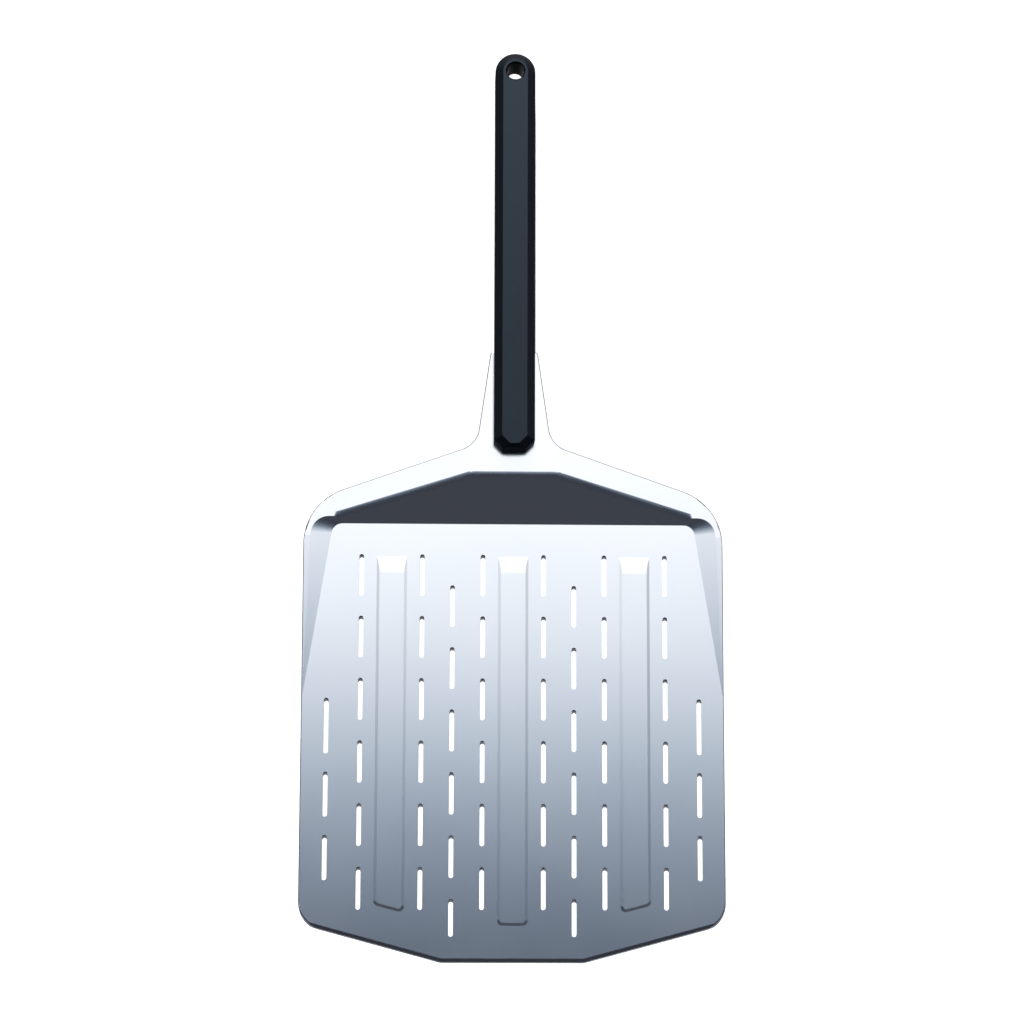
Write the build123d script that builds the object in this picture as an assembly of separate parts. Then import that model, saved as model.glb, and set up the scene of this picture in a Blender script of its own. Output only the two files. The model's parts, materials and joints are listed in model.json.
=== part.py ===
from build123d import *
from math import hypot, radians, tan
import os

# A pizza peel: a pressed, perforated aluminium blade, and a two-shell moulded handle
# that is clamped on the blade's neck by three screws and closed by four more.
# Millimetres. X runs across the blade, Y from the tip (0) to the end of the handle,
# Z up from the surface that the blade lies on. Every part is moved along Y at the end,
# so that the origin is under the middle of the object.

# Overall
OVERALL_LENGTH = 662.0

# Sheet
SHEET = 2.0
BLADE_WIDTH = 305.0
TIP_WIDTH = 102.0            # straight part of the leading edge
TIP_ANGLE = 15.0             # sweep of the leading edge's two sides
TIP_CORNER_R = 12.0
SIDE_CORNER_R = 20.0
SHOULDER_Y = 329.5           # where the shoulder and the side would meet
SHOULDER_ANGLE = 18.4
SHOULDER_R = 42.0
NECK_END_Y = 440.0
NECK_END_WIDTH = 34.4
NECK_ROOT_WIDTH = 54.4
NECK_ROOT_R = 18.0
NECK_END_R = 3.0

# Press form of the sheet
FOLD_Y = 314.0               # foot of the step
STEP_TOP_Y = 348.5           # head of the step
RISE = 12.0                  # height of the neck over the blade
CROWN_HALF = 31.2            # half width of the level neck at the head of the step
CORNER_RISE = 1.8            # height of the rim at the shoulder corner
CORNER_X = 130.0             # where the shoulder has come down to the corner's height
RIM_START_Y = 190.0          # the side rim fades out here
RIM_FULL_Y = 305.0
CREASE_X = 132.0             # side crease, at CREASE_Y and where it runs out
CREASE_Y = 308.0
CREASE_END_X = 151.0
CREASE_END_Y = 193.0
HOOK_R = 8.0                 # plan radius of the pan's corners
PAN_DEPTH = 14.0             # deeper than the rise, so that only the lower part is used
SIDE_SLOPE = 0.12            # of the low rim along the sides
MOUTH_R = 48.0               # plan radius of the pan's corners at its mouth
CREASE_R = 16.0              # radius of the soft creases
EDGE_R = 1.0                 # rounded upper edge of the outline

# Stiffening ribs
RIB_WIDTH = 22.0             # over the foot of the walls
RIB_HEIGHT = 0.8
RIB_DRAFT = 69.0
RIB_CORNER_R = 4.0
RIB_SPACING = 88.0
RIB_TOP_Y = 290.0
RIB_RAMP = 12.0              # length of the run-out at the handle end
RIB_MIDDLE_END_Y = 25.3
RIB_SIDE_END_Y = 36.8        # on the rib's centre line

# Slots
SLOT_WIDTH = 3.4
SLOT_LENGTH = 30.2
SLOT_PITCH_X = 22.0
SLOT_PITCH_Y = 45.0
SLOT_TOP_Y = 291.6
SLOTS_IN_COLUMN = 6
SLOT_LAST_LENGTH = 26.5      # last slot of the staggered columns
OUTER_SLOT_X = 134.3
OUTER_SLOT_LENGTH = 32.0
OUTER_SLOT_FIRST = 40.0      # first slot of the outermost columns

# Leading edge
BEVEL_WIDTH = 2.4
BEVEL_LEFT = 0.7             # thickness left at the edge

# Turned-down lip along the neck
LIP_BOTTOM_Z = 8.0
LIP_START_Y = 340.0
LIP_END_Y = 426.0

# Handle
HANDLE_START_Y = 365.7
HANDLE_WIDTH = 29.6
HANDLE_BOTTOM_Z = 6.0
HANDLE_TOP_Z = 34.0
PARTING_Z = 13.0
NOSE_CUT = 9.2               # corner cut at the end over the blade, before it is cut back
NOSE_BACK = 3.0              # how far that end is cut back, square
TOP_BEVEL = 5.8
BOTTOM_BEVEL = 4.0
WALL = 3.0
INNER_TOP_BEVEL = 4.2
CAVITY_TOP_Z = HANDLE_TOP_Z - WALL
COVER_FLOOR_Z = 8.6
HANG_HOLE_R = 6.4
HANG_RIM = 0.8
HANG_TUBE_R = 9.2
WEB = 2.0
WEB_YS = (438.0, 486.0, 542.0, 598.0)
TAB_CLEARANCE = 1.0

# Neck screws, from below: head, washer, cover, sheet, insert
NECK_SCREW_YS = (383.0, 401.0, 419.0)
NECK_BOSS_R = 6.5
NECK_CLEARANCE_R = 2.75
NECK_RECESS_R = 5.6
NECK_RECESS_TOP_Z = 9.9
WASHER_R = 5.0
WASHER_HOLE_R = 2.65
WASHER = 1.0
NECK_HEAD_R = 4.75
NECK_HEAD = 2.7
NECK_SHANK_R = 2.45
NECK_SHANK = 14.0
HEX_ACROSS = 3.0
HEX_DEPTH = 1.5
INSERT_R = 3.5
INSERT_LENGTH = 9.0
INSERT_BORE_R = 2.5
INSERT_POCKET_R = 3.55
INSERT_GROOVE = 1.2

# Cover screws, from below, along the rest of the handle
COVER_SCREW_YS = (458.0, 514.0, 570.0, 626.0)
COVER_BOSS_R = 4.2
COVER_CLEARANCE_R = 1.9
COVER_RECESS_R = 3.9
COVER_RECESS_TOP_Z = 8.9
COVER_HEAD_R = 3.5
COVER_HEAD = 2.2
COVER_SHANK_R = 1.5
COVER_SHANK = 15.0
COVER_PILOT_R = 1.55
CROSS_WIDTH = 0.9
CROSS_LENGTH = 3.8
CROSS_DEPTH = 1.2

DEEP = 40.0                  # how far the forming solids reach below the blade
FAR = 400.0                  # larger than the blade in plan

HALF = BLADE_WIDTH / 2
NECK_TOP_Z = RISE + SHEET
HANG_HOLE_Y = OVERALL_LENGTH - HANDLE_WIDTH / 2
STEP_SLOPE = RISE / (STEP_TOP_Y - FOLD_Y)


def mirrored(right):
    """Closes an outline given by its right-hand points, from the tip to the far end."""
    return right + [(-x, y) for x, y in reversed(right)]


def blade_outline():
    side_low_y = (HALF - TIP_WIDTH / 2) * tan(radians(TIP_ANGLE))
    root_x = NECK_ROOT_WIDTH / 2
    root_y = SHOULDER_Y + (HALF - root_x) * tan(radians(SHOULDER_ANGLE))
    corners = {
        (TIP_WIDTH / 2, 0.0): TIP_CORNER_R,
        (HALF, side_low_y): SIDE_CORNER_R,
        (HALF, SHOULDER_Y): SHOULDER_R,
        (root_x, root_y): NECK_ROOT_R,
        (NECK_END_WIDTH / 2, NECK_END_Y): NECK_END_R,
    }
    face = make_face(Polyline(*mirrored(list(corners)), close=True))
    for (x, y), radius in corners.items():
        at = [v for v in face.vertices() if hypot(abs(v.X) - x, v.Y - y) < 0.01]
        face = fillet(at, radius)
    return face


def prism_along_x(profile):
    """Solid with the given (y, z) section, across the whole blade."""
    section = Plane.YZ.offset(-FAR / 2) * make_face(Polyline(*profile, close=True))
    return extrude(section, amount=FAR)


def prism_along_y(profile):
    """Solid with the given (x, z) section, along the whole blade."""
    section = Plane.XZ.offset(-FAR * 1.5) * make_face(Polyline(*profile, close=True))
    return extrude(section, amount=FAR * 2)


def side_crease_x(y):
    """Where the crease along the blade's side is, at a distance y from the tip."""
    return CREASE_X + (CREASE_Y - y) * (CREASE_END_X - CREASE_X) / (CREASE_Y - CREASE_END_Y)


def base_block(top_z=0.0):
    return Pos(0, FAR / 2, (top_z - DEEP) / 2) * Box(2 * FAR, 4 * FAR, top_z + DEEP)


def pan_outline(front_reach, side_reach, corner_r):
    """Outline of the pan, moved outwards at its handle end and at its sides, with round corners."""
    end_y = FOLD_Y + front_reach
    points = [(side_crease_x(-FAR) + side_reach, -FAR), (side_crease_x(end_y) + side_reach, end_y)]
    face = make_face(Polyline(*mirrored(points), close=True))
    return fillet(face.vertices().sort_by(Axis.Y)[-2:], corner_r)


def walls_form():
    """Everything outside the pan: a level floor, a steep wall at its handle end, gentle ones beside it."""
    floor = pan_outline(0, 0, HOOK_R)
    mouth = pan_outline(PAN_DEPTH / STEP_SLOPE, PAN_DEPTH / SIDE_SLOPE, MOUTH_R)
    return base_block(PAN_DEPTH) - loft([floor, Pos(0, 0, PAN_DEPTH) * mouth], ruled=True)


def rim_form():
    """Everything under the level neck, the falling shoulders and the fading side rim."""
    fall = (RISE - CORNER_RISE) / (CORNER_X - CROWN_HALF)
    far_z = RISE - fall * (FAR / 2 - CROWN_HALF)
    crown = prism_along_y(
        mirrored([(CROWN_HALF, RISE), (FAR / 2, far_z), (FAR / 2, -DEEP)])
    )
    rim = prism_along_x(
        [
            (RIM_START_Y, 0),
            (RIM_FULL_Y, CORNER_RISE),
            (FOLD_Y + FAR / 2, CORNER_RISE),
            (FOLD_Y + FAR / 2, -DEEP),
            (RIM_START_Y, -DEEP),
        ]
    )
    return base_block() + crown + rim


def rib(x, end_y, end_slope):
    """One raised rib: drafted walls, a cross end at the tip and a run-out at the handle end."""
    half = RIB_WIDTH / 2
    plan = make_face(
        Polyline(
            (x - half, RIB_TOP_Y + RIB_CORNER_R),
            (x - half, end_y - half * end_slope),
            (x + half, end_y + half * end_slope),
            (x + half, RIB_TOP_Y + RIB_CORNER_R),
            close=True,
        )
    )
    plan = fillet(plan.vertices().sort_by(Axis.Y)[:2], RIB_CORNER_R)
    body = extrude(plan, amount=RIB_HEIGHT, taper=RIB_DRAFT)
    run_out_r = (RIB_RAMP**2 + RIB_HEIGHT**2) / (2 * RIB_HEIGHT)
    run_out_y = RIB_TOP_Y - RIB_RAMP
    run_out = Pos(0, run_out_y, RIB_HEIGHT - run_out_r) * Rot(0, 90, 0) * Cylinder(run_out_r, FAR)
    run_out &= Pos(0, run_out_y + FAR / 2, 0) * Box(FAR, FAR, 4 * RIB_HEIGHT)
    level = Pos(0, run_out_y - FAR / 2, 0) * Box(FAR, FAR, 4 * RIB_HEIGHT)
    return body & (run_out + level)


def ribs():
    slope = tan(radians(TIP_ANGLE))
    return [
        rib(0, RIB_MIDDLE_END_Y, 0),
        rib(RIB_SPACING, RIB_SIDE_END_Y, slope),
        rib(-RIB_SPACING, RIB_SIDE_END_Y, -slope),
    ]


def soft_creases(form):
    """Rounds the head of the step and the long edges of the neck and the shoulders."""

    def is_crease(edge):
        raised = min(edge.position_at(0).Z, edge.position_at(1).Z) > CORNER_RISE / 2
        middle = edge.position_at(0.5)
        on_blade = abs(middle.X) < HALF and middle.Y < NECK_END_Y + SHOULDER_R
        return raised and on_blade and edge.length > SHOULDER_R

    return fillet(form.edges().filter_by(is_crease), CREASE_R)


def press_form():
    """The punch: its upper surface is the underside of the sheet."""
    form = soft_creases(walls_form() & rim_form())
    for r in ribs():
        form += r
    return form


def slot_column(x, top_y, lengths):
    """Slots one under another, with their upper ends one pitch apart."""
    cutters = []
    for i, length in enumerate(lengths):
        middle_y = top_y - i * SLOT_PITCH_Y - length / 2
        plan = Pos(x, middle_y) * SlotOverall(length, SLOT_WIDTH, rotation=90)
        cutters.append(extrude(plan, amount=DEEP, both=True))
    return cutters


def slots():
    full = [SLOT_LENGTH] * SLOTS_IN_COLUMN
    staggered = [SLOT_LENGTH] * (SLOTS_IN_COLUMN - 1) + [SLOT_LAST_LENGTH]
    staggered_y = SLOT_TOP_Y - SLOT_PITCH_Y / 2
    outer_y = staggered_y - 2 * SLOT_PITCH_Y
    longer = OUTER_SLOT_FIRST - OUTER_SLOT_LENGTH
    cutters = []
    for side in (-1, 1):
        for step in (1, 3, 5):
            cutters += slot_column(side * step * SLOT_PITCH_X, SLOT_TOP_Y, full)
        cutters += slot_column(side * 2 * SLOT_PITCH_X, staggered_y, staggered)
        cutters += slot_column(side * OUTER_SLOT_X, outer_y + longer, [OUTER_SLOT_FIRST])
        cutters += slot_column(side * OUTER_SLOT_X, outer_y - SLOT_PITCH_Y, [OUTER_SLOT_LENGTH] * 2)
    return cutters


def edge_bevel(x, y, angle):
    """Cutter that grinds a flat bevel on a straight stretch of the leading edge."""
    section = make_face(
        Polyline(
            (-FAR / 8, BEVEL_LEFT - FAR / 8 * (SHEET - BEVEL_LEFT) / BEVEL_WIDTH),
            (BEVEL_WIDTH + 2, SHEET + 2 * (SHEET - BEVEL_LEFT) / BEVEL_WIDTH),
            (-FAR / 8, DEEP),
            close=True,
        )
    )
    cutter = extrude(Plane.YZ.offset(-FAR) * section, amount=2 * FAR)
    return Pos(x, y, 0) * Rot(0, 0, angle) * cutter


def neck_lip(outline, under):
    """The neck's edge turned down, level at its lower side; it fades out along the shoulders."""
    ring = outline - offset(outline, -SHEET, kind=Kind.INTERSECTION)
    reach = Pos(0, (LIP_START_Y + LIP_END_Y) / 2) * Rectangle(FAR, LIP_END_Y - LIP_START_Y)
    wall = extrude(Pos(0, 0, LIP_BOTTOM_Z) * (ring & reach), amount=RISE - LIP_BOTTOM_Z)
    return wall & under


def round_outline(blank, outline):
    """Rounds the upper edge of the trimmed blank, all along the outline."""
    wire = outline.face().outer_wire()

    def is_rim(edge):
        middle = edge.position_at(0.5)
        rises = abs(edge.position_at(0).Z - edge.position_at(1).Z) > 0.9 * edge.length
        return middle.Z > 0.5 and not rises and wire.distance_to(Vector(middle.X, middle.Y, 0)) < 0.01

    return fillet(blank.edges().filter_by(is_rim), EDGE_R)


def blade():
    outline = blade_outline()
    under = press_form()
    over = Pos(0, 0, SHEET) * under
    cut_out = extrude(outline, amount=DEEP)
    blank = round_outline(over & cut_out, outline)
    sheet = blank - under
    sheet += neck_lip(outline, under)
    sheet -= slots()
    sheet -= edge_bevel(0, 0, 0)
    sheet -= edge_bevel(TIP_WIDTH / 2, 0, TIP_ANGLE)
    sheet -= edge_bevel(-TIP_WIDTH / 2, 0, -TIP_ANGLE)
    for y in NECK_SCREW_YS:
        sheet -= Pos(0, y, RISE) * Cylinder(NECK_CLEARANCE_R, DEEP)
    return sheet


def handle_outline(inset=0.0):
    half = HANDLE_WIDTH / 2
    nose_y = HANDLE_START_Y - NOSE_BACK
    face = make_face(
        Polyline(
            *mirrored(
                [
                    (half - NOSE_CUT, nose_y),
                    (half, nose_y + NOSE_CUT),
                    (half, HANG_HOLE_Y),
                ]
            ),
            close=True,
        )
    )
    face += Pos(0, HANG_HOLE_Y) * Circle(half)
    return offset(face, -inset, kind=Kind.INTERSECTION) if inset else face


def beyond(y):
    """Everything on the handle's side of y."""
    return Pos(0, y + FAR, 0) * Box(FAR, 2 * FAR, FAR)


def column(x, y, radius, low_z, high_z):
    return extrude(Pos(x, y, low_z) * Circle(radius), amount=high_z - low_z)


def tab_slot():
    """The room that the blade's neck takes between the two shells."""
    length = NECK_END_Y + TAB_CLEARANCE - HANDLE_START_Y + WALL
    return Pos(0, HANDLE_START_Y - WALL + length / 2, RISE + SHEET / 2) * Box(FAR, length, SHEET)


def handle_body():
    outer = extrude(Pos(0, 0, PARTING_Z) * handle_outline(), amount=HANDLE_TOP_Z - PARTING_Z)
    outer = chamfer(outer.faces().sort_by(Axis.Z)[-1].edges(), TOP_BEVEL) & beyond(HANDLE_START_Y)
    hollow = extrude(
        Pos(0, 0, PARTING_Z) * handle_outline(WALL), amount=CAVITY_TOP_Z - PARTING_Z
    )
    hollow = chamfer(hollow.faces().sort_by(Axis.Z)[-1].edges(), INNER_TOP_BEVEL)
    hollow &= beyond(HANDLE_START_Y + WALL)
    for y in WEB_YS:
        hollow -= Pos(0, y, (PARTING_Z + HANDLE_TOP_Z) / 2 + WEB) * Box(
            HANDLE_WIDTH, WEB, HANDLE_TOP_Z - PARTING_Z
        )
    for y in NECK_SCREW_YS:
        hollow -= column(0, y, NECK_BOSS_R, PARTING_Z, HANDLE_TOP_Z)
    for y in COVER_SCREW_YS:
        hollow -= column(0, y, COVER_BOSS_R, PARTING_Z, HANDLE_TOP_Z)
    hollow -= column(0, HANG_HOLE_Y, HANG_TUBE_R, PARTING_Z, HANDLE_TOP_Z)
    body = outer - hollow - tab_slot()
    body -= column(0, HANG_HOLE_Y, HANG_HOLE_R, PARTING_Z, HANDLE_TOP_Z)
    rim = body.edges().filter_by(GeomType.CIRCLE).filter_by(
        lambda e: abs(e.radius - HANG_HOLE_R) < 0.01 and e.center().Z > HANDLE_TOP_Z - 0.1
    )
    body = chamfer(rim, HANG_RIM)
    for y in NECK_SCREW_YS:
        body -= column(0, y, INSERT_POCKET_R, NECK_TOP_Z, NECK_TOP_Z + INSERT_LENGTH + 1)
    for y in COVER_SCREW_YS:
        body -= column(0, y, COVER_PILOT_R, PARTING_Z, COVER_RECESS_TOP_Z + COVER_SHANK + 1)
    return body


def handle_cover():
    outer = extrude(Pos(0, 0, HANDLE_BOTTOM_Z) * handle_outline(), amount=PARTING_Z - HANDLE_BOTTOM_Z)
    outer = chamfer(outer.faces().sort_by(Axis.Z)[0].edges(), BOTTOM_BEVEL) & beyond(HANDLE_START_Y)
    hollow = extrude(
        Pos(0, 0, COVER_FLOOR_Z) * handle_outline(WALL), amount=PARTING_Z - COVER_FLOOR_Z
    ) & beyond(HANDLE_START_Y + WALL)
    for y in NECK_SCREW_YS:
        hollow -= column(0, y, NECK_BOSS_R, COVER_FLOOR_Z, PARTING_Z)
    for y in COVER_SCREW_YS:
        hollow -= column(0, y, COVER_BOSS_R + 1, COVER_FLOOR_Z, PARTING_Z)
    hollow -= column(0, HANG_HOLE_Y, HANG_TUBE_R, COVER_FLOOR_Z, PARTING_Z)
    cover = outer - hollow - tab_slot()
    cover -= column(0, HANG_HOLE_Y, HANG_HOLE_R, HANDLE_BOTTOM_Z, PARTING_Z)
    rim = cover.edges().filter_by(GeomType.CIRCLE).filter_by(
        lambda e: abs(e.radius - HANG_HOLE_R) < 0.01 and e.center().Z < HANDLE_BOTTOM_Z + 0.1
    )
    cover = chamfer(rim, HANG_RIM)
    for y in NECK_SCREW_YS:
        cover -= column(0, y, NECK_RECESS_R, HANDLE_BOTTOM_Z, NECK_RECESS_TOP_Z)
        cover -= column(0, y, NECK_CLEARANCE_R, HANDLE_BOTTOM_Z, PARTING_Z)
    for y in COVER_SCREW_YS:
        cover -= column(0, y, COVER_RECESS_R, HANDLE_BOTTOM_Z, COVER_RECESS_TOP_Z)
        cover -= column(0, y, COVER_CLEARANCE_R, HANDLE_BOTTOM_Z, PARTING_Z)
    return cover


def washer(y):
    low_z = NECK_RECESS_TOP_Z - WASHER
    return column(0, y, WASHER_R, low_z, NECK_RECESS_TOP_Z) - column(
        0, y, WASHER_HOLE_R, low_z, NECK_RECESS_TOP_Z
    )


def neck_screw(y):
    """Button-head socket screw, head down."""
    seat_z = NECK_RECESS_TOP_Z - WASHER
    head = column(0, y, NECK_HEAD_R, seat_z - NECK_HEAD, seat_z)
    head = fillet(head.edges().group_by(Axis.Z)[0], NECK_HEAD * 0.75)
    screw = head + column(0, y, NECK_SHANK_R, seat_z, seat_z + NECK_SHANK)
    screw = chamfer(screw.edges().group_by(Axis.Z)[-1], 0.5)
    socket = RegularPolygon(HEX_ACROSS / 2, 6, major_radius=False)
    return screw - extrude(Pos(0, y, seat_z - NECK_HEAD) * socket, amount=HEX_DEPTH)


def insert(y):
    """Threaded insert with one grip groove."""
    low_z = NECK_TOP_Z
    body = column(0, y, INSERT_R, low_z, low_z + INSERT_LENGTH)
    middle = low_z + INSERT_LENGTH / 2
    groove = column(0, y, INSERT_R, middle - INSERT_GROOVE / 2, middle + INSERT_GROOVE / 2)
    groove -= column(0, y, INSERT_R - 0.4, middle - INSERT_GROOVE, middle + INSERT_GROOVE)
    return body - groove - column(0, y, INSERT_BORE_R, low_z, low_z + INSERT_LENGTH)


def cover_screw(y):
    """Pan-head thread-forming screw with a cross recess, head down."""
    seat_z = COVER_RECESS_TOP_Z
    head = column(0, y, COVER_HEAD_R, seat_z - COVER_HEAD, seat_z)
    head = fillet(head.edges().group_by(Axis.Z)[0], COVER_HEAD * 0.5)
    screw = head + column(0, y, COVER_SHANK_R, seat_z, seat_z + COVER_SHANK)
    screw = chamfer(screw.edges().group_by(Axis.Z)[-1], 0.6)
    cross = Rectangle(CROSS_LENGTH, CROSS_WIDTH) + Rectangle(CROSS_WIDTH, CROSS_LENGTH)
    return screw - extrude(Pos(0, y, seat_z - COVER_HEAD) * cross, amount=CROSS_DEPTH)


def parts():
    made = {"blade": blade(), "handle_body": handle_body(), "handle_cover": handle_cover()}
    for number, y in enumerate(NECK_SCREW_YS, 1):
        made[f"neck_screw_{number}"] = neck_screw(y)
        made[f"neck_washer_{number}"] = washer(y)
        made[f"neck_insert_{number}"] = insert(y)
    for number, y in enumerate(COVER_SCREW_YS, 1):
        made[f"cover_screw_{number}"] = cover_screw(y)
    return made


os.makedirs("parts", exist_ok=True)
for name, shape in parts().items():
    export_step(Pos(0, -OVERALL_LENGTH / 2, 0) * shape, f"parts/{name}.step")
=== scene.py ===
import bpy, json
from math import radians
from mathutils import Matrix, Vector

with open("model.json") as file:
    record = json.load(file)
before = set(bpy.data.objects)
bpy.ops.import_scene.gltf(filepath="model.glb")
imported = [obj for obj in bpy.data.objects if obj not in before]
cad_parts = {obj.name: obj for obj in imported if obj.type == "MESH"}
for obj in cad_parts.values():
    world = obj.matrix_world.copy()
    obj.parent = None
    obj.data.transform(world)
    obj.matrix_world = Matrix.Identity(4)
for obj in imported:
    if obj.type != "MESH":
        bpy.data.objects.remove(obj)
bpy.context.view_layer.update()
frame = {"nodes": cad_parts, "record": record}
print("peel loaded:", len(frame["nodes"]), "parts")


# a value in a material, which can be added, scaled and compared like a number
class Field:
    def __init__(self, tree, socket):
        self.tree = tree
        self.socket = socket

    def maths(self, operation, other, flipped=False):
        pair = (other, self) if flipped else (self, other)
        return self.tree.node("ShaderNodeMath", {"operation": operation}, {0: pair[0], 1: pair[1]})

    def __add__(self, other): return self.maths("ADD", other)
    def __radd__(self, other): return self.maths("ADD", other, True)
    def __sub__(self, other): return self.maths("SUBTRACT", other)
    def __rsub__(self, other): return self.maths("SUBTRACT", other, True)
    def __mul__(self, other): return self.maths("MULTIPLY", other)
    def __rmul__(self, other): return self.maths("MULTIPLY", other, True)
    def __truediv__(self, other): return self.maths("DIVIDE", other)
    def __gt__(self, other): return self.maths("GREATER_THAN", other)
    def __lt__(self, other): return self.maths("LESS_THAN", other)


class Tree:
    def __init__(self, owner):
        owner.use_nodes = True
        self.nodes = owner.node_tree.nodes
        self.links = owner.node_tree.links
        self.nodes.clear()

    # one node: its type, its settings, and the values or links of its inputs
    def node(self, kind, settings=None, inputs=None, out=0):
        made = self.nodes.new(kind)
        for name, value in (settings or {}).items():
            if name == "stops":
                ramp = made.color_ramp.elements
                while len(ramp) < len(value):
                    ramp.new(0.5)
                for stop, (place, colour) in zip(ramp, value):
                    stop.position = place
                    stop.color = colour
            else:
                setattr(made, name, value)
        for name, value in (inputs or {}).items():
            if isinstance(value, Field):
                self.links.new(value.socket, made.inputs[name])
            else:
                made.inputs[name].default_value = value
        return Field(self, made.outputs[out]) if made.outputs else made

    def place(self, scale=(1, 1, 1)):
        spot = self.node("ShaderNodeTexCoord", out="Object")
        return self.node("ShaderNodeMapping", {}, {"Vector": spot, "Scale": scale})

    def noise(self, scale, detail=2.0, stretch=(1, 1, 1), rough=0.5):
        return self.node("ShaderNodeTexNoise", {}, {"Vector": self.place(stretch), "Scale": scale,
                                                   "Detail": detail, "Roughness": rough})

    def blend(self, amount, first, second):
        return self.node("ShaderNodeMix", {"data_type": "RGBA"}, {0: amount, 6: first, 7: second}, out=2)

    # 0 on surfaces that lie level, 1 on those that stand up
    def tilt(self, start, end):
        facing = self.node("ShaderNodeTexCoord", out="Normal")
        rise = self.node("ShaderNodeSeparateXYZ", {}, {"Vector": facing}, out="Z")
        level = self.node("ShaderNodeMath", {"operation": "ABSOLUTE"}, {0: rise})
        return self.node("ShaderNodeMapRange", {}, {"Value": level, "From Min": start, "From Max": end})

    def bump(self, height, strength, distance):
        return self.node("ShaderNodeBump", {}, {"Height": height, "Strength": strength,
                                               "Distance": distance})

    def skin(self, **sockets):
        inputs = {name.replace("_", " "): value for name, value in sockets.items()}
        return self.node("ShaderNodeBsdfPrincipled", {}, inputs)

    def finish(self, **sockets):
        self.node("ShaderNodeOutputMaterial", {}, {"Surface": self.skin(**sockets)})


sheetLook = {
    "colour": (0.86, 0.875, 0.90, 1),    # anodised aluminium, a little blue
    "cloud": (0.82, 0.84, 0.87, 1),      # slightly duller patches
    "edge": (0.07, 0.065, 0.09, 1),      # painted shade: trimmed edges and the slots' walls darkened in colour, standing in for the dark surroundings they reflect
    "edgeTilt": (0.925, 0.87),           # where a leaning face turns into an edge and takes the painted shade; 1 is level
    "gloss": 0.17,
    "grain": 2600.0,                     # blasted grains per metre
}


def satinSheet():
    material = bpy.data.materials.new("satin anodised sheet")
    tree = Tree(material)
    patches = tree.noise(9.0, 4.0)
    rolling = tree.noise(60.0, 2.0, (6, 0.4, 6))
    grains = tree.noise(sheetLook["grain"], 3.0, rough=0.6)
    face = tree.blend(patches * 0.35 + rolling * 0.25, sheetLook["colour"], sheetLook["cloud"])
    tree.finish(
        # painted shade: faces that stand up take the near-black edge colour
        Base_Color=tree.blend(tree.tilt(*sheetLook["edgeTilt"]), face, sheetLook["edge"]),
        Metallic=1.0,
        Roughness=sheetLook["gloss"] + (patches - 0.5) * 0.04 + (grains - 0.5) * 0.04,
        Normal=tree.bump(grains, 0.02, 0.00002),
    )
    return material


handleLook = {
    "colour": (0.0020, 0.0032, 0.0055, 1),
    "dust": (0.0060, 0.0085, 0.0125, 1),   # paler where the grain catches
    "bevel": (0.0010, 0.0014, 0.0022, 1),  # painted shade: bevels and sides made blacker, standing in for the dark surroundings they reflect
    "bevelTilt": (0.97, 0.88),
    "tint": (0.62, 0.80, 1.0, 1),
    "gloss": 0.46,
    "grain": 1500.0,
}


def grainedPlastic(name, darker=1.0):
    material = bpy.data.materials.new(name)
    tree = Tree(material)
    cells = tree.node("ShaderNodeTexVoronoi", {}, {"Vector": tree.place(), "Scale": handleLook["grain"]})
    fibres = tree.noise(240.0, 3.0, (3, 0.5, 3))
    wear = tree.noise(22.0, 4.0)
    base = tuple(c * darker for c in handleLook["colour"][:3]) + (1,)
    rough = handleLook["gloss"] + (wear - 0.5) * 0.10 + (fibres - 0.5) * 0.06
    grain = tree.bump(cells, 0.12, 0.00005)
    flat = tree.skin(Base_Color=tree.blend(fibres * 0.4 + wear * 0.3, base, handleLook["dust"]),
                     Specular_IOR_Level=0.22, Specular_Tint=handleLook["tint"], Roughness=rough, Normal=grain)
    # painted shade: a darker copy of the plastic with less specular, put on faces that stand up
    bevel = tree.skin(Base_Color=tree.blend(wear * 0.5, base, handleLook["bevel"]),
                      Specular_IOR_Level=0.05, Specular_Tint=handleLook["tint"], Roughness=rough, Normal=grain)
    both = tree.node("ShaderNodeMixShader", {}, {0: tree.tilt(*handleLook["bevelTilt"]), 1: flat, 2: bevel})
    tree.node("ShaderNodeOutputMaterial", {}, {"Surface": both})
    return material


metalLooks = {
    "stainless": {"colour": (0.60, 0.60, 0.61, 1), "dull": (0.50, 0.50, 0.51, 1), "gloss": 0.26},
    "insert_brass": {"colour": (0.80, 0.60, 0.27, 1), "dull": (0.62, 0.44, 0.18, 1), "gloss": 0.30},
    "black_screw": {"colour": (0.045, 0.045, 0.05, 1), "dull": (0.02, 0.02, 0.024, 1), "gloss": 0.38},
}


def turnedMetal(name):
    look = metalLooks[name]
    material = bpy.data.materials.new(name.replace("_", " "))
    tree = Tree(material)
    marks = tree.noise(700.0, 2.0, (1, 1, 9))
    tree.finish(
        Base_Color=tree.blend(marks * 0.7, look["colour"], look["dull"]),
        Metallic=1.0,
        Roughness=look["gloss"] + (marks - 0.5) * 0.12,
        Normal=tree.bump(marks, 0.10, 0.00003),
    )
    return material


finishes = {
    "aluminium_sheet": satinSheet(),
    "handle_plastic": grainedPlastic("grained handle plastic"),
    "cover_plastic": grainedPlastic("grained cover plastic", 0.85),
    "stainless": turnedMetal("stainless"),
    "insert_brass": turnedMetal("insert_brass"),
    "black_screw": turnedMetal("black_screw"),
}
print("finishes mixed:", len(finishes))

slots = {part["node"]: part["material_slot"] for part in frame["record"]["subparts"]}
for name, part in frame["nodes"].items():
    part.data.materials.clear()
    part.data.materials.append(finishes[slots[name]])
print("parts finished")


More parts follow.
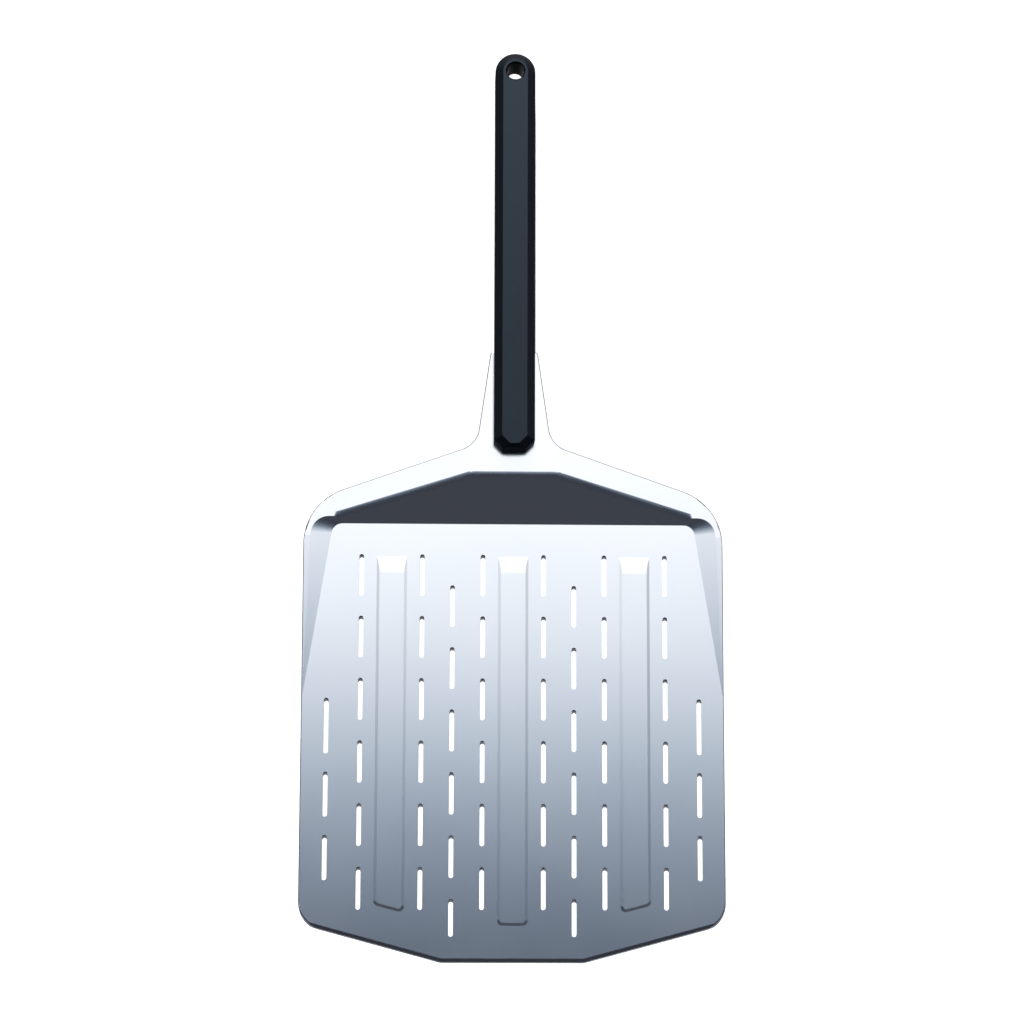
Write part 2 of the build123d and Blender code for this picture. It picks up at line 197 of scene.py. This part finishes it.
studio = {
    "floorColour": (0.90, 0.90, 0.91, 1),
    "floorSize": 14.0,
    "floorGap": 0.0003,                  # so that the floor and the underside don't share a plane
    "keyStrength": 5.2,                  # the lamp that throws the shadows inside the slots
    "keyHeight": 46.0,                   # degrees over the floor, on the handle's side
    "keyTurn": 3.0,
    "keySoft": 3.0,
    # the sky's light, from the tip's side (0) over the top (0.5) to the handle's side (1)
    "sky": [
        (0.25, (0.050, 0.055, 0.070)),
        (0.47, (0.020, 0.028, 0.044)),
        (0.500, (0.04, 0.07, 0.12)),
        (0.520, (0.145, 0.215, 0.325)),
        (0.540, (0.58, 0.69, 0.82)),
        (0.560, (1.20, 1.22, 1.25)),
        (0.75, (1.25, 1.26, 1.28)),
    ],
    "rimLight": (0.16, 0.17, 0.20, 1),   # the sky near the floor
    "backdrop": (0.96, 0.96, 0.965, 1),
}


def pavedFloor():
    half = studio["floorSize"] / 2
    mesh = bpy.data.meshes.new("floor")
    corners = [(-half, -half), (half, -half), (half, half), (-half, half)]
    mesh.from_pydata([(x, y, -studio["floorGap"]) for x, y in corners], [], [(0, 1, 2, 3)])
    floor = bpy.data.objects.new("floor", mesh)
    bpy.context.collection.objects.link(floor)
    material = bpy.data.materials.new("pale floor")
    tree = Tree(material)
    speck = tree.noise(3.0, 2.0)
    paper = tree.blend(speck * 0.1, studio["floorColour"], (0.88, 0.88, 0.885, 1))
    tree.finish(Base_Color=paper, Roughness=0.9, Specular_IOR_Level=0.1)
    mesh.materials.append(material)


def softSky():
    world = bpy.data.worlds.new("studio")
    bpy.context.scene.world = world
    tree = Tree(world)
    way = tree.node("ShaderNodeTexCoord", out="Generated")
    along = tree.node("ShaderNodeSeparateXYZ", {}, {"Vector": way}, out="Y")
    up = tree.node("ShaderNodeSeparateXYZ", {}, {"Vector": way}, out="Z")
    stops = [(spot, tuple(c / 2 for c in light) + (1,)) for spot, light in studio["sky"]]
    dome = tree.node("ShaderNodeValToRGB", {"stops": stops}, {"Fac": along * 0.5 + 0.5})
    high = tree.node("ShaderNodeMapRange", {"interpolation_type": "SMOOTHSTEP"},
                     {"Value": up, "From Min": 0.50, "From Max": 0.84})
    low = tuple(c / 2 for c in studio["rimLight"][:3]) + (1,)
    lit = tree.node("ShaderNodeBackground", {}, {"Color": tree.blend(high, low, dome), "Strength": 2.0})
    plain = tree.node("ShaderNodeBackground", {}, {"Color": studio["backdrop"], "Strength": 1.0})
    seen = tree.node("ShaderNodeLightPath", out="Is Camera Ray")
    both = tree.node("ShaderNodeMixShader", {}, {0: seen, 1: lit, 2: plain})
    tree.node("ShaderNodeOutputWorld", {}, {"Surface": both})


def keyLamp():
    lamp = bpy.data.lights.new("key", "SUN")
    lamp.energy = studio["keyStrength"]
    lamp.angle = radians(studio["keySoft"])
    holder = bpy.data.objects.new("key", lamp)
    holder.rotation_euler = (radians(studio["keyHeight"] - 90), 0, radians(studio["keyTurn"]))
    bpy.context.collection.objects.link(holder)


pavedFloor()
softSky()
keyLamp()
bpy.context.scene.view_settings.view_transform = "Standard"
print("studio set")


eye = {"place": (-0.0506, -0.3042, 1.873), "aim": (-0.0010, -0.0078, 0.002), "lens": 91.4, "lean": 0.15}


def eyePiece():
    data = bpy.data.cameras.new("eye")
    data.lens = eye["lens"]
    data.sensor_width = 36.0
    data.clip_start = 0.01
    camera = bpy.data.objects.new("eye", data)
    camera.location = eye["place"]
    back = (Vector(eye["place"]) - Vector(eye["aim"])).normalized()
    side = Vector((0, 1, 0)).cross(back).normalized()      # the handle points straight up the frame
    upright = Matrix((side, back.cross(side), back)).transposed()
    camera.rotation_euler = (upright @ Matrix.Rotation(radians(eye["lean"]), 3, "Z")).to_euler()
    bpy.context.collection.objects.link(camera)
    bpy.context.scene.camera = camera


eyePiece()
print("camera set")
